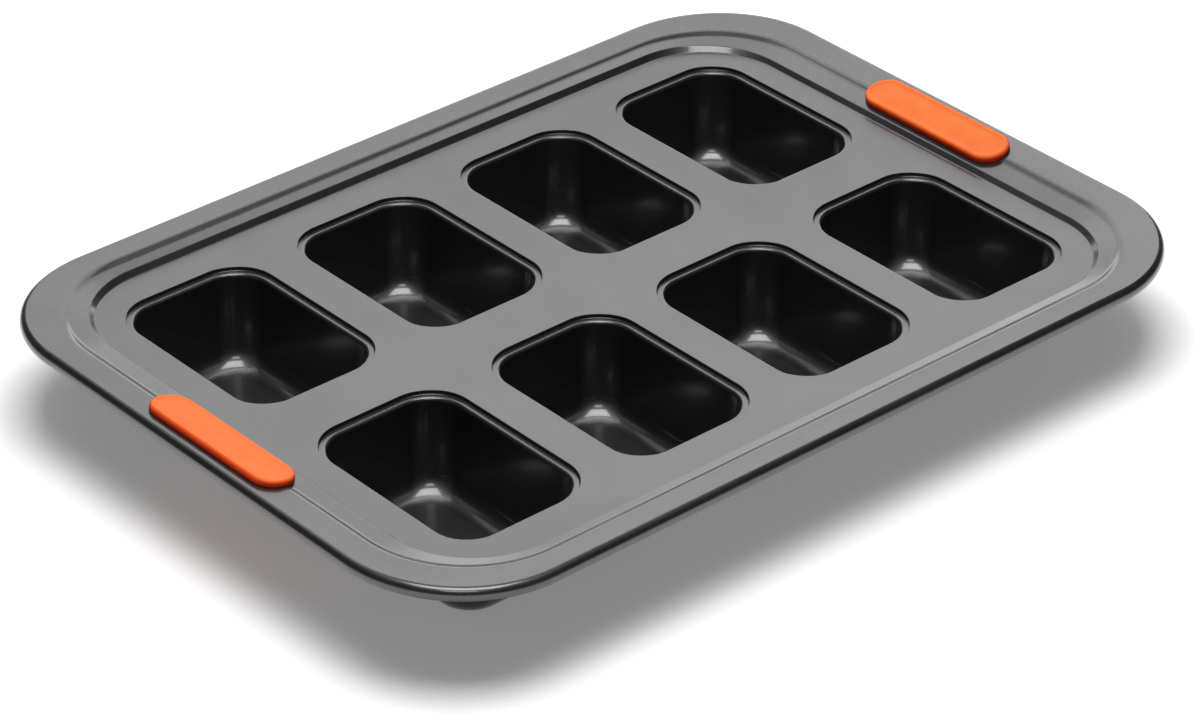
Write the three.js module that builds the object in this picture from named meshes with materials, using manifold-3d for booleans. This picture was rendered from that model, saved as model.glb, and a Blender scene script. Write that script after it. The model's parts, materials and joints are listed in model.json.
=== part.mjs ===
import * as THREE from 'three';
import { mergeVertices } from 'three/addons/utils/BufferGeometryUtils.js';
import Module from 'manifold-3d';

// Mini cake pan: one pressed and coated steel sheet with oblong cups, a wire inside its rolled rim
// and a soft grip snapped through a slot in each handle.
// Millimetres, +Z up, +X along the pan. The origin is the middle of the footprint,
// on the plane that the cups stand on.

// Cups
const cupColumns = 4;
const cupRows = 2;
const cupWidth = 66.5; // along X, at the edge of the lip recess
const cupLength = 94.8; // along Y, at the edge of the lip recess
const cupDepth = 40; // deck down to the floor, inside
const cupCornerRadius = 17.9; // in plan, at the edge of the lip recess
const cupFloorCornerRadius = 13; // in plan, at the floor
const cupDraft = 6.6; // lean of the walls, degrees
const cupFloorFillet = 8;
const lipDrop = 1.65; // lip recess below the deck
const lipEdgeRun = 0.4; // lean of the recess edge over its drop
const lipWidth = 3.2; // recess edge to the wall
const lipRadius = 2.2;

// Deck
const sheet = 0.8;
const landX = 17.6; // deck between neighbouring cups along X
const landY = 25.6; // deck between neighbouring cups along Y
const deckMarginX = 12.4; // outer cups to the step at the short sides
const deckMarginY = 16.0; // outer cups to the step at the long sides
const deckCornerRadius = 37;

// Flange: a step up from the deck, a ledge, a stiffening crease and an outward slope
const stepRiseX = 1.8;
const stepRiseY = 2.3;
const stepRun = 2.1;
const stepFillet = 1.0;
const ledgeX = 8.9; // step to crease, short sides
const ledgeY = 5.1; // step to crease, long sides
const ledgeRiseX = 1.65;
const ledgeRiseY = 0.95;
const creaseRun = 2.2;
const creaseRise = 1.1;
const creaseFillet = 6.5;
const creaseCornerRadius = 47;
const flangeX = 12.0; // crease to the middle of the rolled rim, short sides
const flangeY = 9.6; // crease to the middle of the rolled rim, long sides

// Rolled rim and its wire
const wireDiameter = 3.6;
const wireClearance = 0.4;
const rimHeightX = 6.2; // rim top above the deck, short sides
const rimHeightY = 5.0; // rim top above the deck, long sides
const rimCornerRadius = 54.4; // in plan, at the outer edge
const rollEndAngle = -165; // where the rolled edge ends below the flange, degrees

// Grips
const gripLength = 77.5;
const gripWidth = 18.2;
const gripProud = 3.0; // top pad above the flange
const gripEdgeRadius = 2.0;
const gripBorder = 2.4; // edge of the top pad to its sunk panel
const gripPanelDepth = 0.2;
const gripFromRim = 5.6; // outer edge of the rim to the grip
const gripUnderThickness = 2.2; // pad below the flange
const gripUnderInset = 1.4; // how much smaller the lower pad is, all round
const gripNeckWidth = 9; // neck through the slot
const gripClearance = 0.3;

// Facets
const cupCornerSteps = 5;
const rimCornerSteps = 7;
const bendSteps = 2;
const creaseSteps = 2;
const floorFilletSteps = 3;
const rollSteps = 9;
const wireSides = 8;
const gripEndSteps = 10;
const gripEdgeSteps = 3;

// Derived sizes
const deckZ = sheet + cupDepth;
const cupPitchX = cupWidth + landX;
const cupPitchY = cupLength + landY;
const deckHalfX = ((cupColumns - 1) * cupPitchX + cupWidth) / 2 + deckMarginX;
const deckHalfY = ((cupRows - 1) * cupPitchY + cupLength) / 2 + deckMarginY;
const rollRadius = wireDiameter / 2 + wireClearance + sheet;
const rollRadiusInPlan = rimCornerRadius - rollRadius;

const wasm = await Module();
wasm.setup();

const point = (x, y) => new THREE.Vector2(x, y);
const radians = THREE.MathUtils.degToRad;
const { lerp, clamp, smoothstep } = THREE.MathUtils;

// A polyline through corners, each rounded by its own radius as far as its sides allow.
function filletPath(corners) {
  return corners.flatMap(({ at, radius, steps }, i) => {
    if (!radius) return [at];
    const back = corners[i - 1].at.clone().sub(at);
    const ahead = corners[i + 1].at.clone().sub(at);
    const room = Math.min(back.length(), ahead.length()) / 2;
    back.normalize();
    ahead.normalize();
    const half = Math.acos(clamp(back.dot(ahead), -1, 1)) / 2;
    const reach = Math.min(radius / Math.tan(half), room);
    const centre = back.clone().add(ahead).normalize().multiplyScalar(reach / Math.cos(half)).add(at);
    const turn = Math.sign(ahead.cross(back)) * (Math.PI - 2 * half);
    const start = at.clone().addScaledVector(back, reach);
    return Array.from({ length: steps + 1 }, (_, k) => start.clone().rotateAround(centre, (turn * k) / steps));
  });
}

// The polyline moved sideways. A positive distance goes to the right of its direction.
function offsetPath(path, distance) {
  const normals = path.slice(1).map((p, i) => {
    const along = p.clone().sub(path[i]).normalize();
    return point(along.y, -along.x);
  });
  return path.map((p, i) => {
    const before = normals[Math.max(i - 1, 0)];
    const after = normals[Math.min(i, normals.length - 1)];
    const mitre = before.clone().add(after).normalize();
    return p.clone().addScaledVector(mitre, distance / mitre.dot(before));
  });
}

// A rounded rectangle in plan. Its height eases from zX on the short sides to zY on the long ones.
function ring({ x = 0, y = 0, halfX, halfY, radius, zX, zY, steps }) {
  const points = [];
  for (let corner = 0; corner < 4; corner++) {
    const signX = corner === 0 || corner === 3 ? 1 : -1;
    const signY = corner < 2 ? 1 : -1;
    for (let k = 0; k <= steps; k++) {
      const angle = ((corner + k / steps) * Math.PI) / 2;
      const towardsLongSide = corner % 2 ? 1 - k / steps : k / steps;
      points.push(new THREE.Vector3(
        x + signX * (halfX - radius) + radius * Math.cos(angle),
        y + signY * (halfY - radius) + radius * Math.sin(angle),
        lerp(zX, zY, smoothstep(towardsLongSide, 0, 1)),
      ));
    }
  }
  return points;
}

// An outline with two straight sides along Y and full round ends.
function stadium(halfWidth, halfLength, z) {
  const points = [];
  for (const end of [1, -1]) {
    for (let k = 0; k <= gripEndSteps; k++) {
      const angle = (Math.PI * k) / gripEndSteps;
      points.push(new THREE.Vector3(
        end * halfWidth * Math.cos(angle),
        end * (halfLength - halfWidth + halfWidth * Math.sin(angle)),
        z,
      ));
    }
  }
  return points;
}

// Collects triangles into one closed surface.
class Skin {
  positions = [];

  triangle(...corners) {
    for (const p of corners) this.positions.push(p.x, p.y, p.z);
  }

  // Bands between rings. Rings listed from the inside out face up.
  bridge(rings) {
    rings.slice(1).forEach((outer, r) => {
      const inner = rings[r];
      inner.forEach((p, i) => {
        const j = (i + 1) % inner.length;
        this.triangle(p, outer[i], outer[j]);
        this.triangle(p, outer[j], inner[j]);
      });
    });
  }

  // A flat face inside an edge ring, around any holes.
  cap(edge, holes, facesUp) {
    const all = [edge, ...holes].flat();
    for (const [a, b, c] of THREE.ShapeUtils.triangulateShape(edge, holes)) {
      const turnsLeft = THREE.ShapeUtils.area([all[a], all[b], all[c]]) > 0;
      if (turnsLeft === facesUp) this.triangle(all[a], all[b], all[c]);
      else this.triangle(all[a], all[c], all[b]);
    }
  }

  geometry() {
    const geometry = new THREE.BufferGeometry();
    return geometry.setAttribute('position', new THREE.Float32BufferAttribute(this.positions, 3));
  }
}

// A stack of rings, listed from the top down, closed at both ends.
function stack(rings) {
  const skin = new Skin();
  skin.bridge(rings);
  skin.cap(rings[0], [], true);
  skin.cap(rings.at(-1), [], false);
  return skin.geometry();
}

// A closed geometry as a solid that can be joined and cut.
function solid(geometry) {
  const bare = geometry.clone();
  bare.deleteAttribute('normal');
  bare.deleteAttribute('uv');
  const merged = mergeVertices(bare);
  return new wasm.Manifold(new wasm.Mesh({
    numProp: 3,
    vertProperties: merged.attributes.position.array,
    triVerts: Uint32Array.from(merged.index.array),
  }));
}

function meshOf(name, shape, material) {
  const { vertProperties, triVerts } = shape.getMesh();
  const geometry = new THREE.BufferGeometry();
  geometry.setAttribute('position', new THREE.BufferAttribute(vertProperties, 3));
  geometry.setIndex(new THREE.BufferAttribute(triVerts, 1));
  geometry.computeVertexNormals();
  const mesh = new THREE.Mesh(geometry, material);
  mesh.name = name;
  return mesh;
}

// Rings of both faces of the sheet, from its section on the short sides and on the long sides.
function sheetRings({ sectionX, sectionY, radii, thickness, ...place }) {
  const underX = offsetPath(sectionX, thickness);
  const underY = offsetPath(sectionY, thickness);
  const rings = (pathX, pathY) => pathX.map((p, i) => {
    const outset = (p.x - sectionX[i].x + pathY[i].x - sectionY[i].x) / 2;
    return ring({ ...place, halfX: p.x, halfY: pathY[i].x, radius: radii[i] + outset, zX: p.y, zY: pathY[i].y });
  });
  return { top: rings(sectionX, sectionY), under: rings(underX, underY) };
}

// Cup section from the deck inwards: lip recess, drafted wall, floor.
function cupSection(half) {
  const lipZ = deckZ - lipDrop;
  const wall = half - lipWidth;
  const floor = wall - (lipZ - sheet) * Math.tan(radians(cupDraft));
  return filletPath([
    { at: point(half + lipWidth, deckZ) },
    { at: point(half, deckZ) },
    { at: point(half - lipEdgeRun, lipZ) },
    { at: point(wall, lipZ), radius: lipRadius, steps: bendSteps },
    { at: point(floor, sheet), radius: cupFloorFillet, steps: floorFilletSteps },
    { at: point(0, sheet) },
  ]);
}

function cupRings(x, y) {
  const sectionX = cupSection(cupWidth / 2);
  const sectionY = cupSection(cupLength / 2);
  const radii = sectionX.map((p) => {
    const lip = cupCornerRadius - clamp(cupWidth / 2 - p.x, -lipWidth, lipWidth);
    return lerp(lip, cupFloorCornerRadius, clamp((deckZ - p.y) / cupDepth, 0, 1));
  });
  const rings = sheetRings({ sectionX, sectionY, radii, thickness: -sheet, x, y, steps: cupCornerSteps });
  return { top: rings.top.slice(1, -1), under: rings.under.slice(1, -1) };
}

// Rim section from the deck outwards: step, ledge, crease, slope, and the roll around the wire.
function rimSection({ deckHalf, stepRise, ledge, ledgeRise, flange, rimHeight }) {
  const foot = point(deckHalf, deckZ);
  const stepTop = foot.clone().add(point(stepRun, stepRise));
  const creaseFoot = stepTop.clone().add(point(ledge, ledgeRise));
  const creaseTop = creaseFoot.clone().add(point(creaseRun, creaseRise));
  const rollMid = point(creaseTop.x + flange, deckZ + rimHeight - rollRadius);
  const toMid = rollMid.clone().sub(creaseTop);
  const slope = Math.atan2(toMid.y, toMid.x) + Math.asin(rollRadius / toMid.length());
  const roll = Array.from({ length: rollSteps + 1 }, (_, k) => {
    const angle = lerp(slope + Math.PI / 2, radians(rollEndAngle), k / rollSteps);
    return point(rollRadius, 0).rotateAround(point(0, 0), angle).add(rollMid);
  });
  const flat = filletPath([
    { at: point(0, deckZ) },
    { at: foot, radius: stepFillet, steps: bendSteps },
    { at: stepTop, radius: stepFillet, steps: bendSteps },
    { at: creaseFoot, radius: creaseFillet, steps: creaseSteps },
    { at: creaseTop, radius: creaseFillet, steps: creaseSteps },
    { at: roll[0] },
  ]);
  return { path: [...flat, ...roll.slice(1)], flat, stepTop, rollMid, rollStart: roll[0] };
}

const rimX = rimSection({
  deckHalf: deckHalfX,
  stepRise: stepRiseX,
  ledge: ledgeX,
  ledgeRise: ledgeRiseX,
  flange: flangeX,
  rimHeight: rimHeightX,
});
const rimY = rimSection({
  deckHalf: deckHalfY,
  stepRise: stepRiseY,
  ledge: ledgeY,
  ledgeRise: ledgeRiseY,
  flange: flangeY,
  rimHeight: rimHeightY,
});

// Plan radius of the rim's corners, by the distance from the middle on the short sides.
function rimRadius(x) {
  const creaseX = rimX.stepTop.x + ledgeX + creaseRun / 2;
  if (x < creaseX) return lerp(deckCornerRadius, creaseCornerRadius, (x - deckHalfX) / (creaseX - deckHalfX));
  return lerp(creaseCornerRadius, rollRadiusInPlan, (x - creaseX) / (rimX.rollMid.x - creaseX));
}

function rimRings() {
  const radii = rimX.path.map(({ x }, i) => {
    const onRoll = i >= rimX.flat.length - 1;
    return onRoll ? rollRadiusInPlan + x - rimX.rollMid.x : rimRadius(x);
  });
  const place = { steps: rimCornerSteps };
  const rings = sheetRings({ sectionX: rimX.path, sectionY: rimY.path, radii, thickness: sheet, ...place });
  return { top: rings.top.slice(1), under: rings.under.slice(1) };
}

// Grip frame: on the flange of the +X side, leaning with it.
const gripMidX = rimX.rollMid.x + rollRadius - gripFromRim - gripWidth / 2;
const flangeChord = rimX.rollStart.clone().sub(rimX.stepTop);
const gripLean = flangeChord.angle();
const gripMidZ = rimX.stepTop.y + (gripMidX - rimX.stepTop.x) * Math.tan(gripLean);
const gripFrame = new THREE.Matrix4()
  .makeRotationY(-gripLean)
  .setPosition(gripMidX, 0, gripMidZ);

const neckInset = (gripWidth - gripNeckWidth) / 2;
const gripOutline = (inset, z) => stadium(gripWidth / 2 - inset, gripLength / 2 - inset, z);
const inGripFrame = (rings) => solid(stack(rings).applyMatrix4(gripFrame));

// Insets and heights of a rounded edge, from the flat face to the side.
function roundedEdge(radius) {
  return Array.from({ length: gripEdgeSteps + 1 }, (_, k) => {
    const angle = (Math.PI / 2) * (1 - k / gripEdgeSteps);
    return { inset: radius * (1 - Math.cos(angle)), drop: radius * (1 - Math.sin(angle)) };
  });
}

// A bar along Y with the given outline in X and Z, longer than a grip.
function barAlongY(outline) {
  const length = gripLength + gripWidth;
  const bar = new THREE.ExtrudeGeometry(new THREE.Shape(outline), { depth: length, bevelEnabled: false });
  return solid(bar.rotateX(Math.PI / 2).translate(0, length / 2, 0));
}

// One soft piece: a pad on the flange, a neck through the slot and a smaller pad below.
function gripSolid() {
  const below = -sheet - gripClearance;
  const lowest = below - gripUnderThickness;
  const topPad = inGripFrame([
    gripOutline(gripBorder + gripPanelDepth, gripProud - gripPanelDepth),
    gripOutline(gripBorder, gripProud),
    ...roundedEdge(gripEdgeRadius).map(({ inset, drop }) => gripOutline(inset, gripProud - drop)),
    gripOutline(0, lowest),
  ]);
  const neck = inGripFrame([
    gripOutline(neckInset, gripProud / 2),
    gripOutline(neckInset, below - gripUnderThickness / 2),
  ]);
  const lowerPad = inGripFrame([
    gripOutline(gripUnderInset, gripProud / 2),
    ...roundedEdge(gripEdgeRadius).reverse().map(({ inset, drop }) => (
      gripOutline(gripUnderInset + inset, lowest + drop))),
  ]);

  const rimEdge = rimX.rollMid.x + rollRadius + gripClearance;
  const upperFace = rimX.path.slice(0, rimX.flat.length + rollSteps / 3);
  const roomAbove = offsetPath(upperFace, -gripClearance);
  const roomBelow = offsetPath(rimX.flat, sheet + gripClearance);
  const notAbove = barAlongY([...roomAbove, point(rimEdge, roomAbove.at(-1).y), point(rimEdge, 0), point(0, 0)]);
  const notBelow = barAlongY([...roomBelow, point(roomBelow.at(-1).x, 2 * deckZ), point(0, 2 * deckZ)]);
  const rollRoom = new THREE.Shape().absarc(
    rimX.rollMid.x, rimX.rollMid.y, rollRadius + gripClearance, 0, 2 * Math.PI);
  const notInRoll = barAlongY(rollRoom.getPoints(rollSteps).slice(0, -1));
  return topPad.subtract(notAbove).add(neck).add(lowerPad.subtract(notBelow).subtract(notInRoll));
}

// The slot that a grip's neck passes through, on the +X side.
function slotGeometry() {
  const reach = gripProud + gripUnderThickness;
  const inset = neckInset - gripClearance;
  return stack([gripOutline(inset, reach), gripOutline(inset, -reach)]).applyMatrix4(gripFrame);
}

function panSolid() {
  const skin = new Skin();
  const rim = rimRings();
  const cups = [];
  for (let row = 0; row < cupRows; row++) {
    for (let column = 0; column < cupColumns; column++) {
      const x = (column - (cupColumns - 1) / 2) * cupPitchX;
      const y = (row - (cupRows - 1) / 2) * cupPitchY;
      cups.push(cupRings(x, y));
    }
  }
  skin.cap(rim.top[0], cups.map((cup) => cup.top[0]), true);
  skin.cap(rim.under[0], cups.map((cup) => cup.under[0]), false);
  skin.bridge([...rim.top, ...rim.under.toReversed()]);
  for (const cup of cups) {
    skin.bridge(cup.top.toReversed());
    skin.cap(cup.top.at(-1), [], true);
    skin.bridge(cup.under);
    skin.cap(cup.under.at(-1), [], false);
  }
  const slot = slotGeometry();
  const otherSlot = slot.clone().rotateZ(Math.PI);
  return solid(skin.geometry()).subtract(solid(slot)).subtract(solid(otherSlot));
}

function wireSolid() {
  const rings = [];
  for (let k = 0; k <= wireSides; k++) {
    const spoke = point(wireDiameter / 2, 0).rotateAround(point(0, 0), (-2 * Math.PI * k) / wireSides);
    rings.push(ring({
      halfX: rimX.rollMid.x + spoke.x,
      halfY: rimY.rollMid.x + spoke.x,
      radius: rollRadiusInPlan + spoke.x,
      zX: rimX.rollMid.y + spoke.y,
      zY: rimY.rollMid.y + spoke.y,
      steps: rimCornerSteps,
    }));
  }
  const skin = new Skin();
  skin.bridge(rings);
  return solid(skin.geometry());
}

const coating = new THREE.MeshStandardMaterial({ color: 0x58585b, roughness: 0.35, metalness: 0.6 });
const bareSteel = new THREE.MeshStandardMaterial({ color: 0xa8aaad, roughness: 0.4, metalness: 1 });
const silicone = new THREE.MeshStandardMaterial({ color: 0xe8622a, roughness: 0.55, metalness: 0 });

const pan = new THREE.Group();
const grip = gripSolid();
const gripRight = meshOf('grip_right', grip, silicone);
const gripLeft = meshOf('grip_left', grip, silicone.clone());
gripLeft.rotation.z = Math.PI;
pan.add(meshOf('pan_sheet', panSolid(), coating));
pan.add(meshOf('rim_wire', wireSolid(), bareSteel));
pan.add(gripRight, gripLeft);

export default pan;
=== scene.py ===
import json
import math

import bpy
from mathutils import Matrix, Vector

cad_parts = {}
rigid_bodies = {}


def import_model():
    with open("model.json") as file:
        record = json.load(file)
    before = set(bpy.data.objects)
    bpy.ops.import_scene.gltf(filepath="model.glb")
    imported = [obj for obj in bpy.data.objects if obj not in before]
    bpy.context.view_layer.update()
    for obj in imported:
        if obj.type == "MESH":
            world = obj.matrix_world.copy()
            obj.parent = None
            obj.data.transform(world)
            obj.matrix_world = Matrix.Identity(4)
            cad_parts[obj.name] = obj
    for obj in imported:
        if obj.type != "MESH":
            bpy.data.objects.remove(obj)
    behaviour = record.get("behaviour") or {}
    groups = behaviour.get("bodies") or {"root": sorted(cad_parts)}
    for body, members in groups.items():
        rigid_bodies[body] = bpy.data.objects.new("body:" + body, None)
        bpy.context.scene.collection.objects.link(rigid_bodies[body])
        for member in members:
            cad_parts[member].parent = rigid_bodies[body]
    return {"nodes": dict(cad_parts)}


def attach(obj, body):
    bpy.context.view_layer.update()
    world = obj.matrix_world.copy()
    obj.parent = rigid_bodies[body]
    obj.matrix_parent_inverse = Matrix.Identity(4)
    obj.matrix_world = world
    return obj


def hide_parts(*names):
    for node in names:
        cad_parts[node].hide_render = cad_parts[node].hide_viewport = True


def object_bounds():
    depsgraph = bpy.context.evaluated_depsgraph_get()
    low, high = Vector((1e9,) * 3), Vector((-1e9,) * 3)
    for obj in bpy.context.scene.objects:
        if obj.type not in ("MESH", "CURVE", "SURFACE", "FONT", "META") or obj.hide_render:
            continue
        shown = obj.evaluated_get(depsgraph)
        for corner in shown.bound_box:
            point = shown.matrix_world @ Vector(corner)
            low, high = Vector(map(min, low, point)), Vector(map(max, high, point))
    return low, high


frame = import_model()
cadLow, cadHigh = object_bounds()
print("frame loaded:", ", ".join(sorted(frame["nodes"])))

mm = 0.001
sceneObjects = bpy.context.scene.collection.objects


# Small tools for profiles and rings, all in millimetres

def mix(a, b, t):
    return a + (b - a) * t


def clamp(value, low, high):
    return max(low, min(high, value))


def ease(t):
    return t * t * (3 - 2 * t)


def turned(vector, angle):
    return Vector((vector.x * math.cos(angle) - vector.y * math.sin(angle),
                   vector.x * math.sin(angle) + vector.y * math.cos(angle)))


def cornerTurn(before, here, after):
    back = (before - here).normalized()
    ahead = (after - here).normalized()
    half = math.acos(clamp(back.dot(ahead), -1, 1)) / 2
    side = math.copysign(1, ahead.x * back.y - ahead.y * back.x)
    return back, ahead, half, side


# corners are (point, radius, steps); a corner with no steps stays sharp
# a bend takes less than half of the shorter straight beside it
def limitRadii(corners, guard):
    limited = []
    for i, (here, radius, steps) in enumerate(corners):
        if steps:
            before, after = corners[i - 1][0], corners[i + 1][0]
            half = cornerTurn(before, here, after)[2]
            room = min((before - here).length, (after - here).length) / 2 - guard
            radius = min(radius, room * math.tan(half))
        limited.append((here, radius, steps))
    return limited


def filletPath(corners, guard):
    path = []
    for i, (here, radius, steps) in enumerate(corners):
        if not steps:
            path.append(here)
            continue
        back, ahead, half, side = cornerTurn(corners[i - 1][0], here, corners[i + 1][0])
        reach = radius / math.tan(half)
        centre = here + (back + ahead).normalized() * (reach / math.cos(half))
        start = here + back * reach
        turn = side * (math.pi - 2 * half)
        path.append(start + back * guard)  # a loop beside the bend keeps the flats flat
        path.extend(centre + turned(start - centre, turn * k / steps) for k in range(steps + 1))
        path.append(here + ahead * (reach + guard))
    return path


# the other face of the sheet: corners moved to the right of the path, bends kept concentric
def otherFace(corners, thickness, leastRadius):
    moved = []
    for i, (here, radius, steps) in enumerate(corners):
        before = corners[max(i - 1, 0)][0]
        after = corners[min(i + 1, len(corners) - 1)][0]
        first = (here - before).normalized() if i else (after - here).normalized()
        last = (after - here).normalized() if i < len(corners) - 1 else first
        normalIn = Vector((first.y, -first.x))
        normalOut = Vector((last.y, -last.x))
        mitre = (normalIn + normalOut).normalized()
        place = here + mitre * (thickness / mitre.dot(normalIn))
        if steps:
            bendsRight = first.x * last.y - first.y * last.x < 0
            radius = max(radius - thickness if bendsRight else radius + thickness, leastRadius)
        moved.append((place, radius, steps))
    return moved


# a rounded rectangle in plan, easing from zX on the short sides to zY on the long ones
def ring(halfX, halfY, radius, zX, zY, steps):
    points = []
    for corner in range(4):
        signX = 1 if corner in (0, 3) else -1
        signY = 1 if corner < 2 else -1
        for k in range(steps + 1):
            angle = (corner + k / steps) * math.pi / 2
            toLong = 1 - k / steps if corner % 2 else k / steps
            points.append(Vector((signX * (halfX - radius) + radius * math.cos(angle),
                                  signY * (halfY - radius) + radius * math.sin(angle),
                                  mix(zX, zY, ease(toLong)))))
    return points


# bands between closed rings; rings listed from the inside out face up
def bandFaces(rings, closed=False):
    count = len(rings[0])
    faces = []
    pairs = len(rings) if closed else len(rings) - 1
    for r in range(pairs):
        low = r * count
        high = (r + 1) % len(rings) * count
        for i in range(count):
            j = (i + 1) % count
            faces.append((low + i, high + i, high + j, low + j))
    return faces


# faces that close the first and the last ring of such bands
def endFaces(rings):
    count = len(rings[0])
    last = (len(rings) - 1) * count
    return [tuple(range(count)), tuple(range(last, last + count))[::-1]]


def newMesh(name, points, faces, edges=()):
    mesh = bpy.data.meshes.new(name)
    mesh.from_pydata([p * mm for p in points], list(edges), faces)
    mesh.validate()
    mesh.polygons.foreach_set("use_smooth", [True] * len(mesh.polygons))
    mesh.update()
    return mesh


def newObject(name, mesh):
    made = bpy.data.objects.new(name, mesh)
    sceneObjects.link(made)
    return made


def flat(rings):
    return [p for points in rings for p in points]


# the object's evaluated shape as a plain mesh, with its modifiers gone
def settle(made, sharpAngle):
    graph = bpy.context.evaluated_depsgraph_get()
    shape = bpy.data.meshes.new_from_object(made.evaluated_get(graph))
    made.modifiers.clear()
    made.data = shape
    shape.polygons.foreach_set("use_smooth", [True] * len(shape.polygons))
    shape.set_sharp_from_angle(angle=math.radians(sharpAngle))
    shape.name = made.name


# Node helpers

noiseRange = (0.3, 0.7)  # nearly all values of a noise texture lie in here
bumpDepth = 0.0002  # metres
mixColours = {"factor": 0, "first": 6, "second": 7, "result": 2}  # the mix node's sockets for colours


def newMaterial(name):
    material = bpy.data.materials.new(name)
    material.use_nodes = True
    nodes = material.node_tree.nodes
    nodes.clear()
    shader = nodes.new("ShaderNodeBsdfPrincipled")
    output = nodes.new("ShaderNodeOutputMaterial")
    material.node_tree.links.new(shader.outputs["BSDF"], output.inputs["Surface"])
    return material, material.node_tree, shader


def addNode(tree, kind, values=None, **settings):
    node = tree.nodes.new(kind)
    for key, value in settings.items():
        setattr(node, key, value)
    for key, value in (values or {}).items():
        node.inputs[key].default_value = value
    return node


def noise(tree, scale, detail=3):
    place = tree.nodes.get("place") or addNode(tree, "ShaderNodeTexCoord", name="place")
    texture = addNode(tree, "ShaderNodeTexNoise", {"Scale": scale, "Detail": detail})
    tree.links.new(place.outputs["Object"], texture.inputs["Vector"])
    return texture.outputs["Fac"]


def spread(tree, source, low, high, toLow, toHigh):
    node = addNode(tree, "ShaderNodeMapRange", {"From Min": low, "From Max": high,
                                                "To Min": toLow, "To Max": toHigh})
    tree.links.new(source, node.inputs["Value"])
    return node.outputs["Result"]


# each side of the mix is a fixed colour or another node's output
def blend(tree, factor, first, second):
    node = addNode(tree, "ShaderNodeMix", data_type="RGBA")
    for side, value in (("first", first), ("second", second)):
        socket = node.inputs[mixColours[side]]
        if isinstance(value, tuple):
            socket.default_value = (*value, 1)
        else:
            tree.links.new(value, socket)
    tree.links.new(factor, node.inputs[mixColours["factor"]])
    return node.outputs[mixColours["result"]]


def addBump(tree, shader, height, strength):
    node = addNode(tree, "ShaderNodeBump", {"Strength": strength, "Distance": bumpDepth})
    tree.links.new(height, node.inputs["Height"])
    tree.links.new(node.outputs["Normal"], shader.inputs["Normal"])


# Finishes

coating = {
    "base": (0.050, 0.0495, 0.052),
    "fleck": (0.090, 0.089, 0.094),
    "metallic": 0.9, "paintedBandMetallic": 0.80,  # metal flake in a dark film; less metallic in a band down each cup corner, a painted highlight that stands in for a reflection
    "roughness": (0.36, 0.44),
    "coat": 0.8, "coatRoughness": 0.12,
    "fleckScale": 2600, "fleckDetail": 2, "fleckRange": (0.5, 0.75),  # specks under half a millimetre
    "cloudScale": 38,
    "peelScale": 1300, "peel": 0.05,  # orange peel of the sprayed film
}


def makeCoating():
    material, tree, shader = newMaterial("nonstickCoating")
    specks = noise(tree, coating["fleckScale"], coating["fleckDetail"])
    fleck = spread(tree, specks, *coating["fleckRange"], 0, 1)
    tree.links.new(blend(tree, fleck, coating["base"], coating["fleck"]), shader.inputs["Base Color"])
    cloud = noise(tree, coating["cloudScale"])
    tree.links.new(spread(tree, cloud, *noiseRange, *coating["roughness"]), shader.inputs["Roughness"])
    # painted highlight: less metallic, so lighter, in the band the cup marks down its corners
    drawn = addNode(tree, "ShaderNodeAttribute", attribute_name="drawn")
    metallic = spread(tree, drawn.outputs["Fac"], 0, 1, coating["metallic"], coating["paintedBandMetallic"])
    tree.links.new(metallic, shader.inputs["Metallic"])
    shader.inputs["Coat Weight"].default_value = coating["coat"]
    shader.inputs["Coat Roughness"].default_value = coating["coatRoughness"]
    addBump(tree, shader, noise(tree, coating["peelScale"]), coating["peel"])
    return material


silicone = {
    "base": (0.81, 0.136, 0.004),
    "pale": (0.84, 0.166, 0.008),
    "side": (0.80, 0.045, 0.002),  # painted shade: darker, deeper red where the pad's edge turns down, as its sides get less light than its top
    "roughness": (0.48, 0.58),
    "specular": 0.3,
    "glow": 0.2, "glowRadius": (1.0, 0.22, 0.04), "glowDepth": 0.002,
    "cloudScale": 120,
    "grainScale": 2200, "grain": 0.08,
}


def makeSilicone():
    material, tree, shader = newMaterial("orangeSilicone")
    cloud = spread(tree, noise(tree, silicone["cloudScale"]), *noiseRange, 0, 1)
    face = blend(tree, cloud, silicone["base"], silicone["pale"])
    # painted shade on the pad's turned-down edge, read from the grip's side attribute
    side = addNode(tree, "ShaderNodeAttribute", attribute_name="side")
    colour = blend(tree, side.outputs["Fac"], face, silicone["side"])
    tree.links.new(colour, shader.inputs["Base Color"])
    grain = noise(tree, silicone["grainScale"])
    tree.links.new(spread(tree, grain, *noiseRange, *silicone["roughness"]), shader.inputs["Roughness"])
    shader.inputs["Specular IOR Level"].default_value = silicone["specular"]
    shader.inputs["Subsurface Weight"].default_value = silicone["glow"]
    shader.inputs["Subsurface Radius"].default_value = silicone["glowRadius"]
    shader.inputs["Subsurface Scale"].default_value = silicone["glowDepth"]
    addBump(tree, shader, grain, silicone["grain"])
    return material


steel = {
    "base": (0.50, 0.50, 0.51),
    "dark": (0.40, 0.40, 0.41),
    "roughness": (0.28, 0.42),
    "drawScale": 700, "drawDetail": 4,
}


def makeSteel():
    material, tree, shader = newMaterial("drawnSteel")
    lines = noise(tree, steel["drawScale"], steel["drawDetail"])
    tree.links.new(blend(tree, lines, steel["base"], steel["dark"]), shader.inputs["Base Color"])
    tree.links.new(spread(tree, lines, *noiseRange, *steel["roughness"]), shader.inputs["Roughness"])
    shader.inputs["Metallic"].default_value = 1.0
    return material


coatingMaterial = makeCoating()
siliconeMaterial = makeSilicone()
steelMaterial = makeSteel()
print("finishes made")


# Pan sheet: sizes of the pressing in millimetres

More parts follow.
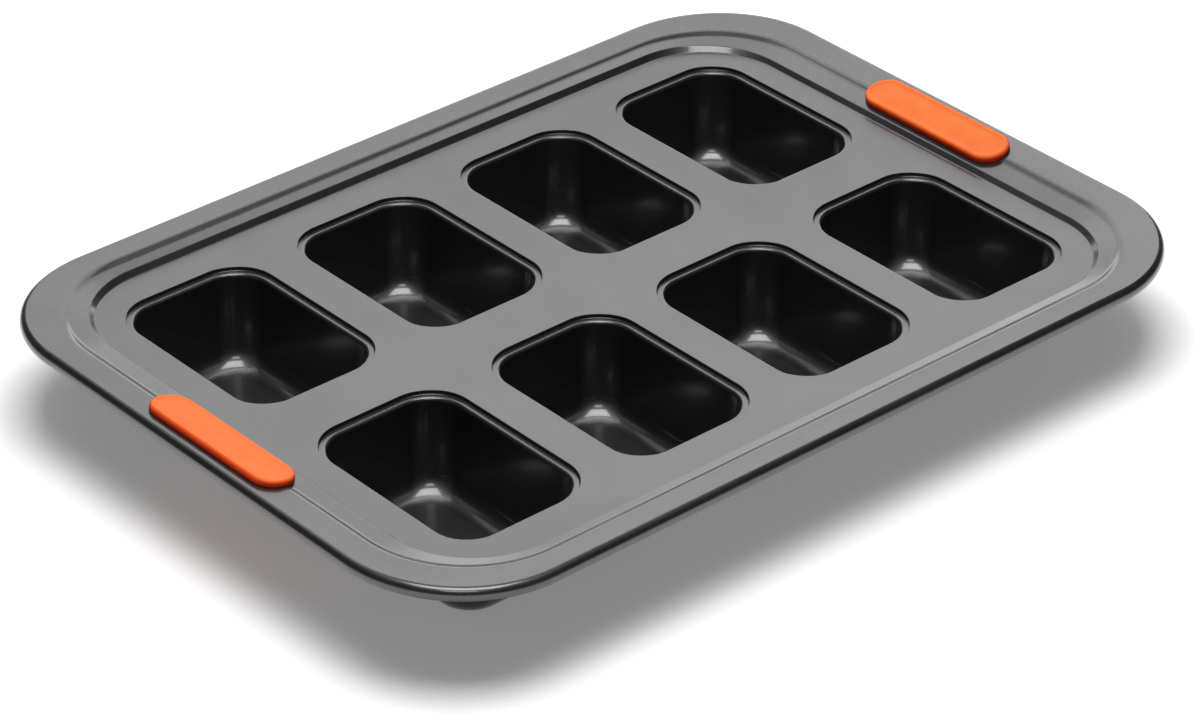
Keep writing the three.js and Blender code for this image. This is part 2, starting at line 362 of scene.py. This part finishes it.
pan = {
    "columns": 4, "rows": 2,
    "cupWidth": 66.5, "cupLength": 94.8, "cupCorner": 17.9,  # at the edge of the lip recess
    "cupDepth": 40.0, "draft": 6.6, "floorCorner": 13.0, "floorFillet": 8.0,
    "lipDrop": 1.65, "lipEdgeRun": 0.4, "lipWidth": 3.2, "lipRadius": 2.2, "pressRadius": 0.25,
    "sheet": 0.8, "landX": 17.6, "landY": 25.6,
    "marginX": 12.4, "marginY": 16.0, "deckCorner": 37.0, "deckEdge": 4.0,
    "stepRiseX": 1.8, "stepRiseY": 2.3, "stepRun": 2.1, "stepFillet": 1.0,
    "ledgeX": 8.9, "ledgeY": 5.1, "ledgeRiseX": 1.65, "ledgeRiseY": 0.95,
    "creaseRun": 2.2, "creaseRise": 1.1, "creaseFillet": 6.5, "creaseCorner": 47.0,
    "flangeX": 12.0, "flangeY": 9.6,
    "wire": 3.6, "wireClearance": 0.4, "rimHeightX": 6.2, "rimHeightY": 5.0,
    "rimCorner": 54.4, "rollEnd": -165.0,
    "guard": 0.12, "leastRadius": 0.15, "sharpAngle": 38.0,
    "cupSteps": 18, "rimSteps": 36, "pressSteps": 4, "lipSteps": 8, "floorSteps": 14,
    "stepSteps": 8, "creaseSteps": 5, "rollSteps": 26,
    "weld": 0.01,  # closes the seams between deck, rim and cups
    "paintedBandArc": 33.0, "paintedBandFade": 6.0,  # half width of the painted highlight band round a cup's corner, and its fade, degrees
}

deckZ = pan["sheet"] + pan["cupDepth"]
pitchX = pan["cupWidth"] + pan["landX"]
pitchY = pan["cupLength"] + pan["landY"]
deckHalfX = ((pan["columns"] - 1) * pitchX + pan["cupWidth"]) / 2 + pan["marginX"]
deckHalfY = ((pan["rows"] - 1) * pitchY + pan["cupLength"]) / 2 + pan["marginY"]
rollRadius = pan["wire"] / 2 + pan["wireClearance"] + pan["sheet"]
rollInPlan = pan["rimCorner"] - rollRadius  # corner radius of the roll's middle line


# rings of one face from its sections on the short and the long sides
def faceRings(pathX, pathY, radii, steps):
    return [ring(x.x, y.x, radius, x.y, y.y, steps) for x, y, radius in zip(pathX, pathY, radii)]


def cupCorners(half):
    lipZ = deckZ - pan["lipDrop"]
    wall = half - pan["lipWidth"]
    floor = wall - (lipZ - pan["sheet"]) * math.tan(math.radians(pan["draft"]))
    press = pan["pressRadius"]
    return limitRadii([
        (Vector((half + pan["lipWidth"], deckZ)), 0, 0),
        (Vector((half, deckZ)), press, pan["pressSteps"]),
        (Vector((half - pan["lipEdgeRun"], lipZ)), press, pan["pressSteps"]),
        (Vector((wall, lipZ)), pan["lipRadius"], pan["lipSteps"]),
        (Vector((floor, pan["sheet"])), pan["floorFillet"], pan["floorSteps"]),
        (Vector((0, pan["sheet"])), 0, 0),
    ], pan["guard"])


# plan radius of a cup's corners: parallel over the lip, easing to the floor's radius below the face's top
def cupRadius(point, top):
    lip = pan["cupCorner"] - clamp(pan["cupWidth"] / 2 - point.x, -pan["lipWidth"], pan["lipWidth"])
    return mix(lip, pan["floorCorner"], clamp((top - point.y) / pan["cupDepth"], 0, 1))


# how far a point of a cup's ring lies in the painted highlight band of a corner: 1 in its middle, 0 on the
# flat walls
def paintedBandAt(place, height):
    if height > deckZ - pan["lipDrop"] - pan["lipRadius"]:
        return 0.0
    fromDiagonal = abs(place % (pan["cupSteps"] + 1) / pan["cupSteps"] * 90 - 45)
    return clamp((pan["paintedBandArc"] - fromDiagonal) / pan["paintedBandFade"] + 0.5, 0, 1)


def makeCup():
    cornersX = cupCorners(pan["cupWidth"] / 2)
    cornersY = cupCorners(pan["cupLength"] / 2)
    points, faces = [], []
    for thickness in (0, -pan["sheet"]):
        faceX, faceY = cornersX, cornersY
        if thickness:
            faceX = otherFace(cornersX, thickness, pan["leastRadius"])
            faceY = otherFace(cornersY, thickness, pan["leastRadius"])
        pathX = filletPath(faceX, pan["guard"])[:-1]
        pathY = filletPath(faceY, pan["guard"])[:-1]
        radii = [cupRadius(p, deckZ + thickness) for p in pathX]
        rings = faceRings(pathX, pathY, radii, pan["cupSteps"])
        start = len(points)
        points += flat(rings)
        bands = bandFaces(rings) + endFaces(rings)[1:]
        if thickness == 0:  # the upper face looks into the cup
            bands = [face[::-1] for face in bands]
        faces += [tuple(start + i for i in face) for face in bands]
    made = newMesh("cup", points, faces)
    # marks the painted highlight band down the cup's corners, below the lip
    drawn = made.attributes.new("drawn", "FLOAT", "POINT")
    ringLength = 4 * (pan["cupSteps"] + 1)
    drawn.data.foreach_set("value", [paintedBandAt(i % ringLength, points[i].z) for i in range(len(points))])
    return made


# the rim's section on the short sides, X, or the long ones, Y: deck edge, step, ledge, crease, flange, roll
def rimSection(side, deckHalf):
    foot = Vector((deckHalf, deckZ))
    stepTop = foot + Vector((pan["stepRun"], pan["stepRise" + side]))
    creaseFoot = stepTop + Vector((pan["ledge" + side], pan["ledgeRise" + side]))
    creaseTop = creaseFoot + Vector((pan["creaseRun"], pan["creaseRise"]))
    rollMid = Vector((creaseTop.x + pan["flange" + side], deckZ + pan["rimHeight" + side] - rollRadius))
    toMid = rollMid - creaseTop
    slope = math.atan2(toMid.y, toMid.x) + math.asin(rollRadius / toMid.length)
    rollStart = rollMid + turned(Vector((rollRadius, 0)), slope + math.pi / 2)
    corners = limitRadii([
        (foot - Vector((pan["deckEdge"], 0)), 0, 0),
        (foot, pan["stepFillet"], pan["stepSteps"]),
        (stepTop, pan["stepFillet"], pan["stepSteps"]),
        (creaseFoot, pan["creaseFillet"], pan["creaseSteps"]),
        (creaseTop, pan["creaseFillet"], pan["creaseSteps"]),
        (rollStart, 0, 0),
    ], pan["guard"])
    return {
        "corners": corners, "stepTop": stepTop,
        "rollMid": rollMid, "rollStart": rollStart, "slope": slope,
    }


rimX = rimSection("X", deckHalfX)
rimY = rimSection("Y", deckHalfY)


def rollArc(rim, radius):
    first = rim["slope"] + math.pi / 2
    last = math.radians(pan["rollEnd"])
    steps = pan["rollSteps"]
    spoke = Vector((radius, 0))
    return [rim["rollMid"] + turned(spoke, mix(first, last, k / steps)) for k in range(steps + 1)]


# plan radius of the rim's corners, by the distance from the middle on the short sides
def rimRadius(x):
    creaseX = rimX["stepTop"].x + pan["ledgeX"] + pan["creaseRun"] / 2
    if x < creaseX:
        return mix(pan["deckCorner"], pan["creaseCorner"], (x - deckHalfX) / (creaseX - deckHalfX))
    return mix(pan["creaseCorner"], rollInPlan, (x - creaseX) / (rimX["rollMid"].x - creaseX))


def rimFace(thickness):
    paths = []
    for rim in (rimX, rimY):
        corners = rim["corners"]
        if thickness:
            corners = otherFace(corners, thickness, pan["leastRadius"])
        paths.append((filletPath(corners, pan["guard"])[:-1], rollArc(rim, rollRadius - thickness)))
    (flatX, rollX), (flatY, rollY) = paths
    radii = [rimRadius(p.x) for p in flatX]
    radii += [rollInPlan + p.x - rimX["rollMid"].x for p in rollX]
    return faceRings(flatX + rollX, flatY + rollY, radii, pan["rimSteps"])


def makeRim():
    rings = rimFace(0) + rimFace(pan["sheet"])[::-1]
    return newMesh("rim", flat(rings), bandFaces(rings))


# a closed line of edges at height 0, for the deck's outline and the cups' openings in it
def outlineMesh(name, points):
    level = [Vector((p.x, p.y, 0)) for p in points]
    count = len(level)
    return newMesh(name, level, [], [(i, (i + 1) % count) for i in range(count)])


# Geometry Nodes tree: deck outline filled around a grid of cup openings, cups set into them
def makePanTree():
    tree = bpy.data.node_groups.new("panSheet", "GeometryNodeTree")
    sockets = {}
    for name, kind in (("Rim", "NodeSocketGeometry"), ("Deck Outline", "NodeSocketObject"),
                       ("Cup Outline", "NodeSocketObject"), ("Cup", "NodeSocketObject"),
                       ("Columns", "NodeSocketInt"), ("Rows", "NodeSocketInt"),
                       ("Pitch X", "NodeSocketFloat"), ("Pitch Y", "NodeSocketFloat"),
                       ("Deck Height", "NodeSocketFloat"), ("Sheet", "NodeSocketFloat"),
                       ("Weld Distance", "NodeSocketFloat"), ("Material", "NodeSocketMaterial")):
        sockets[name] = tree.interface.new_socket(name, in_out="INPUT", socket_type=kind).identifier
    tree.interface.new_socket("Pan", in_out="OUTPUT", socket_type="NodeSocketGeometry")
    source = tree.nodes.new("NodeGroupInput").outputs
    link = tree.links.new

    def worked(operation, first, second):
        node = addNode(tree, "ShaderNodeMath", operation=operation)
        for index, value in enumerate((first, second)):
            if isinstance(value, (int, float)):
                node.inputs[index].default_value = value
            else:
                link(value, node.inputs[index])
        return node.outputs[0]

    def objectShape(name):
        info = addNode(tree, "GeometryNodeObjectInfo")
        link(source[name], info.inputs["Object"])
        return info.outputs["Geometry"]

    def asCurve(shape):
        node = addNode(tree, "GeometryNodeMeshToCurve")
        link(shape, node.inputs["Mesh"])
        return node.outputs["Curve"]

    def onGrid(shape):
        node = addNode(tree, "GeometryNodeInstanceOnPoints")
        link(grid.outputs["Mesh"], node.inputs["Points"])
        link(shape, node.inputs["Instance"])
        return node.outputs["Instances"]

    def realized(shape):
        node = addNode(tree, "GeometryNodeRealizeInstances")
        link(shape, node.inputs["Geometry"])
        return node.outputs["Geometry"]

    def joined(*shapes):
        node = addNode(tree, "GeometryNodeJoinGeometry")
        for shape in shapes:
            link(shape, node.inputs["Geometry"])
        return node.outputs["Geometry"]

    def raised(shape, height):
        place = addNode(tree, "ShaderNodeCombineXYZ")
        link(height, place.inputs["Z"])
        node = addNode(tree, "GeometryNodeTransform")
        link(shape, node.inputs["Geometry"])
        link(place.outputs["Vector"], node.inputs["Translation"])
        return node.outputs["Geometry"]

    grid = addNode(tree, "GeometryNodeMeshGrid")
    spansX = worked("SUBTRACT", source["Columns"], 1)
    spansY = worked("SUBTRACT", source["Rows"], 1)
    link(worked("MULTIPLY", spansX, source["Pitch X"]), grid.inputs["Size X"])
    link(worked("MULTIPLY", spansY, source["Pitch Y"]), grid.inputs["Size Y"])
    link(source["Columns"], grid.inputs["Vertices X"])
    link(source["Rows"], grid.inputs["Vertices Y"])

    openings = realized(onGrid(asCurve(objectShape("Cup Outline"))))
    fill = addNode(tree, "GeometryNodeFillCurve")
    link(joined(asCurve(objectShape("Deck Outline")), openings), fill.inputs["Curve"])
    turnOver = addNode(tree, "GeometryNodeFlipFaces")
    link(fill.outputs["Mesh"], turnOver.inputs["Mesh"])
    deckTop = raised(fill.outputs["Mesh"], source["Deck Height"])
    deckUnder = raised(turnOver.outputs["Mesh"], worked("SUBTRACT", source["Deck Height"], source["Sheet"]))

    cups = onGrid(objectShape("Cup"))
    whole = realized(joined(source["Rim"], deckTop, deckUnder, cups))
    weld = addNode(tree, "GeometryNodeMergeByDistance")
    link(whole, weld.inputs["Geometry"])
    link(source["Weld Distance"], weld.inputs["Distance"])
    finish = addNode(tree, "GeometryNodeSetMaterial")
    link(weld.outputs["Geometry"], finish.inputs["Geometry"])
    link(source["Material"], finish.inputs["Material"])
    link(finish.outputs["Geometry"], tree.nodes.new("NodeGroupOutput").inputs["Pan"])
    return tree, sockets


# Grips: one soft piece each, a pad on the flange, a neck through a slot and a smaller pad below

grip = {
    "length": 77.5, "width": 18.2, "proud": 3.0, "edgeRadius": 1.3,
    "border": 2.4, "panelDepth": 0.2, "panelSlope": 0.9, "panelMargin": 1.2, "fromRim": 5.6,
    "underThickness": 2.2, "underInset": 1.4, "neckWidth": 9.0,
    "seatGap": 0.06, "slotClearance": 0.3, "footRadius": 0.25, "footCut": 0.075,
    "seatInsets": (1.6, 3.1), "underInsets": (3.2, 2.2),  # rings that follow the flange's two faces
    "topGuard": 0.25, "underGuard": 0.3,  # loops beside the rounded edges
    "endSteps": 36, "edgeSteps": 9, "panelSteps": 6, "sharpAngle": 50.0,
}

# piece, node and turn about Z
gripSides = (("gripRight", "grip_right", 0), ("gripLeft", "grip_left", math.pi))

gripMidX = rimX["rollMid"].x + rollRadius - grip["fromRim"] - grip["width"] / 2
chord = rimX["rollStart"] - rimX["stepTop"]
gripLean = math.atan2(chord.y, chord.x)
gripMidZ = rimX["stepTop"].y + (gripMidX - rimX["stepTop"].x) * math.tan(gripLean)
gripPlace = Matrix.Translation((gripMidX, 0, gripMidZ)) @ Matrix.Rotation(-gripLean, 4, "Y")
neckInset = (grip["width"] - grip["neckWidth"]) / 2


# height of the flange's faces over the grip's own plane, by the distance across the grip
def flangeProfile(thickness):
    corners = rimX["corners"]
    if thickness:
        corners = otherFace(corners, thickness, pan["leastRadius"])
    path = filletPath(corners, pan["guard"])[:-1]
    path += rollArc(rimX, rollRadius - thickness)[:pan["rollSteps"] // 4]  # no grip reaches further
    middle = Vector((gripMidX, gripMidZ))
    return [turned(p - middle, -gripLean) for p in path]


def heightAt(profile, across):
    for first, last in zip(profile, profile[1:]):
        if first.x <= across <= last.x and last.x > first.x:
            return mix(first.y, last.y, (across - first.x) / (last.x - first.x))
    return profile[-1].y if across > profile[-1].x else profile[0].y


flangeTop = flangeProfile(0)
flangeUnder = flangeProfile(pan["sheet"])


# an outline with straight sides along Y and full round ends; height is a number or a function
def stadium(inset, height):
    halfWidth = grip["width"] / 2 - inset
    straight = (grip["length"] - grip["width"]) / 2
    points = []
    for end in (1, -1):
        for k in range(grip["endSteps"] + 1):
            angle = math.pi * k / grip["endSteps"]
            x = end * halfWidth * math.cos(angle)
            y = end * (straight + halfWidth * math.sin(angle))
            points.append(Vector((x, y, height(x) if callable(height) else height)))
    return points


def quarterRound(radius, steps):
    angles = [math.pi / 2 * (1 - k / steps) for k in range(steps + 1)]
    return [(radius * (1 - math.cos(a)), radius * (1 - math.sin(a))) for a in angles]


# rings of a grip: the top pad from its middle out, round its edge to the flange, the neck and the lower pad
def gripRings():
    top, radius = grip["proud"], grip["edgeRadius"]
    sunk = top - grip["panelDepth"]
    border, slope = grip["border"], grip["panelSlope"]
    foot, cut = grip["footRadius"], grip["footCut"]
    lowest = -pan["sheet"] - grip["slotClearance"] - grip["underThickness"]
    edge = quarterRound(radius, grip["edgeSteps"])

    def seat(x):
        return heightAt(flangeTop, x) + grip["seatGap"]

    def underSeat(x):
        return heightAt(flangeUnder, x) - grip["seatGap"]

    rings = [stadium(border + slope + grip["panelMargin"], sunk)]
    for k in range(grip["panelSteps"] + 1):  # soft step from the sunk panel up to the border
        t = k / grip["panelSteps"]
        rings.append(stadium(border + slope * (0.5 - t), mix(sunk, top, ease(t))))
    rings.append(stadium(radius + grip["topGuard"], top))
    edgeStart = len(rings)
    rings += [stadium(inset, top - drop) for inset, drop in edge]
    rings.append(stadium(0, lambda x: mix(seat(x) + foot, top - radius, 0.5)))
    rings.append(stadium(0, lambda x: seat(x) + foot))
    rings.append(stadium(cut, lambda x: seat(x) + cut))
    rings.append(stadium(foot, seat))
    rings += [stadium(inset, seat) for inset in (*grip["seatInsets"], neckInset)]
    rings.append(stadium(neckInset, underSeat))
    rings += [stadium(inset, underSeat) for inset in (*grip["underInsets"], grip["underInset"])]
    rings += [stadium(grip["underInset"] + inset, lowest + drop) for inset, drop in edge[::-1]]
    rings.append(stadium(grip["underInset"] + radius + grip["underGuard"], lowest))
    return rings, edgeStart


def makeGrip(name, turn):
    rings, edgeStart = gripRings()
    count = len(rings[0])
    place = Matrix.Rotation(turn, 4, "Z") @ gripPlace
    points = [place @ p for p in flat(rings)]
    made = newObject(name, newMesh(name, points, bandFaces(rings) + endFaces(rings)))
    # painted shade: 0 on the pad's top, 1 once its edge has turned down
    paintedSideShade = made.data.attributes.new("side", "FLOAT", "POINT")
    paintedShadeByRing = [clamp((r - edgeStart) / grip["edgeSteps"], 0, 1) for r in range(len(rings))]
    paintedSideShade.data.foreach_set("value", [paintedShadeByRing[i // count] for i in range(len(points))])
    made.data.materials.append(siliconeMaterial)
    made.data.set_sharp_from_angle(angle=math.radians(grip["sharpAngle"]))
    return made


# the two slots that the grips' necks pass through
def makeSlots():
    reach = grip["proud"] + grip["underThickness"]
    inset = neckInset - grip["slotClearance"]
    rings = [stadium(inset, reach), stadium(inset, -reach)]
    one = bandFaces(rings) + endFaces(rings)
    points, faces = [], []
    for _, _, turn in gripSides:
        place = Matrix.Rotation(turn, 4, "Z") @ gripPlace
        faces += [tuple(len(points) + i for i in face) for face in one]
        points += [place @ p for p in flat(rings)]
    return newObject("slotCutters", newMesh("slotCutters", points, faces))


def makePan():
    openEdge = ring(pan["cupWidth"] / 2 + pan["lipWidth"], pan["cupLength"] / 2 + pan["lipWidth"],
                    pan["cupCorner"] + pan["lipWidth"], 0, 0, pan["cupSteps"])
    helpers = {
        "Deck Outline": newObject("deckOutline", outlineMesh("deckOutline", rimFace(0)[0])),
        "Cup Outline": newObject("cupOutline", outlineMesh("cupOutline", openEdge)),
        "Cup": newObject("cupShape", makeCup()),
    }
    made = newObject("pan", makeRim())
    tree, sockets = makePanTree()
    nodes = made.modifiers.new("panSheet", "NODES")
    nodes.node_group = tree
    values = dict(helpers)
    values.update({
        "Columns": pan["columns"], "Rows": pan["rows"], "Pitch X": pitchX * mm, "Pitch Y": pitchY * mm,
        "Deck Height": deckZ * mm, "Sheet": pan["sheet"] * mm, "Weld Distance": pan["weld"] * mm,
        "Material": coatingMaterial,
    })
    for name, value in values.items():
        nodes[sockets[name]] = value
    slots = makeSlots()
    cut = made.modifiers.new("gripSlots", "BOOLEAN")
    cut.operation = "DIFFERENCE"
    cut.solver = "EXACT"
    cut.object = slots
    settle(made, pan["sharpAngle"])
    for helper in (*helpers.values(), slots):
        bpy.data.objects.remove(helper)
    print("pan sheet:", len(made.data.polygons), "faces")
    return made


panPiece = makePan()
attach(panPiece, "root")
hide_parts("pan_sheet")

for name, node, turn in gripSides:
    gripPiece = makeGrip(name, turn)
    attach(gripPiece, "root")
    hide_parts(node)
print("grips made")


# Rim wire, inside the roll

wire = {"sides": 14}


def makeWire():
    rings = []
    radius = pan["wire"] / 2
    for k in range(wire["sides"]):
        offset = turned(Vector((radius, 0)), -2 * math.pi * k / wire["sides"])
        midX, midY = rimX["rollMid"] + offset, rimY["rollMid"] + offset
        rings.append(ring(midX.x, midY.x, rollInPlan + offset.x, midX.y, midY.y, pan["rimSteps"]))
    made = newObject("rimWire", newMesh("rimWire", flat(rings), bandFaces(rings, closed=True)))
    made.data.materials.append(steelMaterial)
    return made


wirePiece = makeWire()
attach(wirePiece, "root")
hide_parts("rim_wire")
print("rim wire made")


# Stage, in metres: camera, floor, world and soft lights

camera = {
    "position": (-1.0303, -1.1840, 0.9873),
    "aim": (-0.03747, -0.04352, 0.0408),
    "lens": 140.2, "sensor": 36.0, "clipEnd": 50.0,
}

studio = {
    "floorSize": 14.0, "floorDrop": 0.0003, "floorColour": 0.86, "floorRoughness": 0.9,
    "glowNear": 0.21, "glowFar": 1.0,
    "glowStart": -0.022, "glowEnd": 0.09,  # distance outside the pan's outline, seen from above, over which the glow's painted shadow edge rises to white
    "world": 0.05,
}

backPanel = {
    "behind": 0.9, "bottom": 0.05, "top": 1.25, "width": 1.0,
    "byHeight": ((0.05, 0.2), (0.17, 0.4), (0.27, 3.2), (0.42, 1.2),  # height and radiance
                 (0.57, 1.95), (0.72, 2.75), (0.90, 2.1), (1.25, 1.9)),
    "leftShare": 0.85, "rightShare": 1.15,
}

panelHeight = 1.5
overheadPanels = {  # behind and aside are distances from the pan's middle, seen from the camera
    "topPanel": {"behind": -0.18, "aside": 0.0, "size": (0.90, 0.80), "radiance": 8.5, "onFloor": True},
    "frontPanel": {"behind": -1.18, "aside": 0.0, "size": (0.60, 0.50), "radiance": 6.0, "onFloor": False},
    "leftPanel": {"behind": 1.05, "aside": -0.78, "size": (0.86, 0.80), "radiance": 0.9, "onFloor": False},
}

sight = Vector(camera["aim"]) - Vector(camera["position"])
away = Vector((sight.x, sight.y, 0)).normalized()  # level, from the camera past the pan


def makeCamera():
    data = bpy.data.cameras.new("camera")
    data.lens = camera["lens"]
    data.sensor_width = camera["sensor"]
    data.sensor_fit = "HORIZONTAL"
    data.clip_end = camera["clipEnd"]
    made = bpy.data.objects.new("camera", data)
    sceneObjects.link(made)
    made.location = camera["position"]
    made.rotation_euler = sight.to_track_quat("-Z", "Y").to_euler()
    bpy.context.scene.camera = made


# a pale floor that shows white to the camera and in reflections, dimmer under the pan to keep its shadow;
# the glow's rise just outside the pan's outline is a painted shadow edge on top of the cast one
def makeFloorFinish():
    material, tree, shader = newMaterial("paleFloor")
    shader.inputs["Base Color"].default_value = (*[studio["floorColour"]] * 3, 1)
    shader.inputs["Roughness"].default_value = studio["floorRoughness"]
    shader.inputs["Specular IOR Level"].default_value = 0.0
    shader.inputs["Emission Color"].default_value = (1, 1, 1, 1)
    place = addNode(tree, "ShaderNodeTexCoord")
    corner = pan["rimCorner"] * mm
    straight = (cadHigh[0] - corner, cadHigh[1] - corner, 0)
    outside = place.outputs["Object"]  # becomes the way out from the straight sides' box
    for operation, other in (("ABSOLUTE", None), ("SUBTRACT", straight), ("MAXIMUM", (0, 0, 0))):
        node = addNode(tree, "ShaderNodeVectorMath", operation=operation)
        tree.links.new(outside, node.inputs[0])
        if other:
            node.inputs[1].default_value = other
        outside = node.outputs[0]
    distance = addNode(tree, "ShaderNodeVectorMath", operation="LENGTH")
    tree.links.new(outside, distance.inputs[0])
    # painted shadow edge: the glow rises with the distance outside the pan's outline
    fade = addNode(tree, "ShaderNodeMapRange", {"From Min": corner + studio["glowStart"],
                                                "From Max": corner + studio["glowEnd"],
                                                "To Min": studio["glowNear"], "To Max": studio["glowFar"]},
                   interpolation_type="SMOOTHSTEP")
    tree.links.new(distance.outputs["Value"], fade.inputs["Value"])
    path = addNode(tree, "ShaderNodeLightPath")
    seen = path.outputs["Is Camera Ray"]
    for name in ("Is Glossy Ray", "Is Transmission Ray"):
        either = addNode(tree, "ShaderNodeMath", operation="MAXIMUM")
        tree.links.new(seen, either.inputs[0])
        tree.links.new(path.outputs[name], either.inputs[1])
        seen = either.outputs[0]
    glow = addNode(tree, "ShaderNodeMath", operation="MULTIPLY")
    tree.links.new(seen, glow.inputs[0])
    tree.links.new(fade.outputs["Result"], glow.inputs[1])
    tree.links.new(glow.outputs[0], shader.inputs["Emission Strength"])
    return material


def makeFloor():
    half = studio["floorSize"] / 2
    corners = [(x * half, y * half, -studio["floorDrop"]) for x, y in ((-1, -1), (1, -1), (1, 1), (-1, 1))]
    mesh = bpy.data.meshes.new("floor")
    mesh.from_pydata(corners, [], [(0, 1, 2, 3)])
    mesh.materials.append(makeFloorFinish())
    made = newObject("floor", mesh)
    return made


def makeWorld():
    world = bpy.data.worlds.new("studio")
    bpy.context.scene.world = world
    world.use_nodes = True
    background = world.node_tree.nodes["Background"]
    background.inputs["Color"].default_value = (*[studio["world"]] * 3, 1)
    background.inputs["Strength"].default_value = 1.0


def makeLamp(name, width, depth, radiance):
    light = bpy.data.lights.new(name, "AREA")
    light.shape = "RECTANGLE"
    light.size = width
    light.size_y = depth
    light.energy = radiance * math.pi * width * depth
    made = bpy.data.objects.new(name, light)
    sceneObjects.link(made)
    made.visible_camera = False
    return made


# a tall soft panel behind the pan: a dim foot, a bright strip, a dimmer stretch and a bright upper half
def makeBackPanel():
    low, high = backPanel["bottom"], backPanel["top"]
    brightest = max(radiance for height, radiance in backPanel["byHeight"])
    made = makeLamp("backPanel", backPanel["width"], high - low, brightest)
    made.rotation_euler = (-away).to_track_quat("-Z", "Y").to_euler()
    made.location = away * backPanel["behind"] + Vector((0, 0, (low + high) / 2))
    made.data.use_nodes = True
    tree = made.data.node_tree
    place = addNode(tree, "ShaderNodeNewGeometry")
    parts = addNode(tree, "ShaderNodeSeparateXYZ")
    tree.links.new(place.outputs["Parametric"], parts.inputs[0])
    ramp = addNode(tree, "ShaderNodeValToRGB")
    stops = ramp.color_ramp.elements
    while len(stops) < len(backPanel["byHeight"]):
        stops.new(0.5)  # moved to its height below
    for stop, (height, radiance) in zip(stops, backPanel["byHeight"]):
        stop.position = (height - low) / (high - low)
        stop.color = (*[radiance / brightest] * 3, 1)
    tree.links.new(parts.outputs["Y"], ramp.inputs["Fac"])
    sideways = spread(tree, parts.outputs["X"], 0, 1, backPanel["rightShare"], backPanel["leftShare"])
    emission = tree.nodes["Emission"]
    tree.links.new(ramp.outputs["Color"], emission.inputs["Color"])
    tree.links.new(sideways, emission.inputs["Strength"])
    return made


# only the top panel lights the floor, so the shadow lies straight below the pan
def makePanels(floor):
    offFloor = bpy.data.collections.new("offFloor")
    offFloor.objects.link(floor)
    offFloor.collection_objects[0].light_linking.link_state = "EXCLUDE"
    makeBackPanel().light_linking.receiver_collection = offFloor
    toRight = Vector((away.y, -away.x, 0))
    for name, panel in overheadPanels.items():
        made = makeLamp(name, *panel["size"], panel["radiance"])
        made.rotation_euler = (0, 0, -math.atan2(away.x, away.y))
        made.location = away * panel["behind"] + toRight * panel["aside"] + Vector((0, 0, panelHeight))
        if not panel["onFloor"]:
            made.light_linking.receiver_collection = offFloor


makeCamera()
floorPiece = makeFloor()
makeWorld()
makePanels(floorPiece)
bpy.context.scene.view_settings.view_transform = "Standard"
print("stage set")
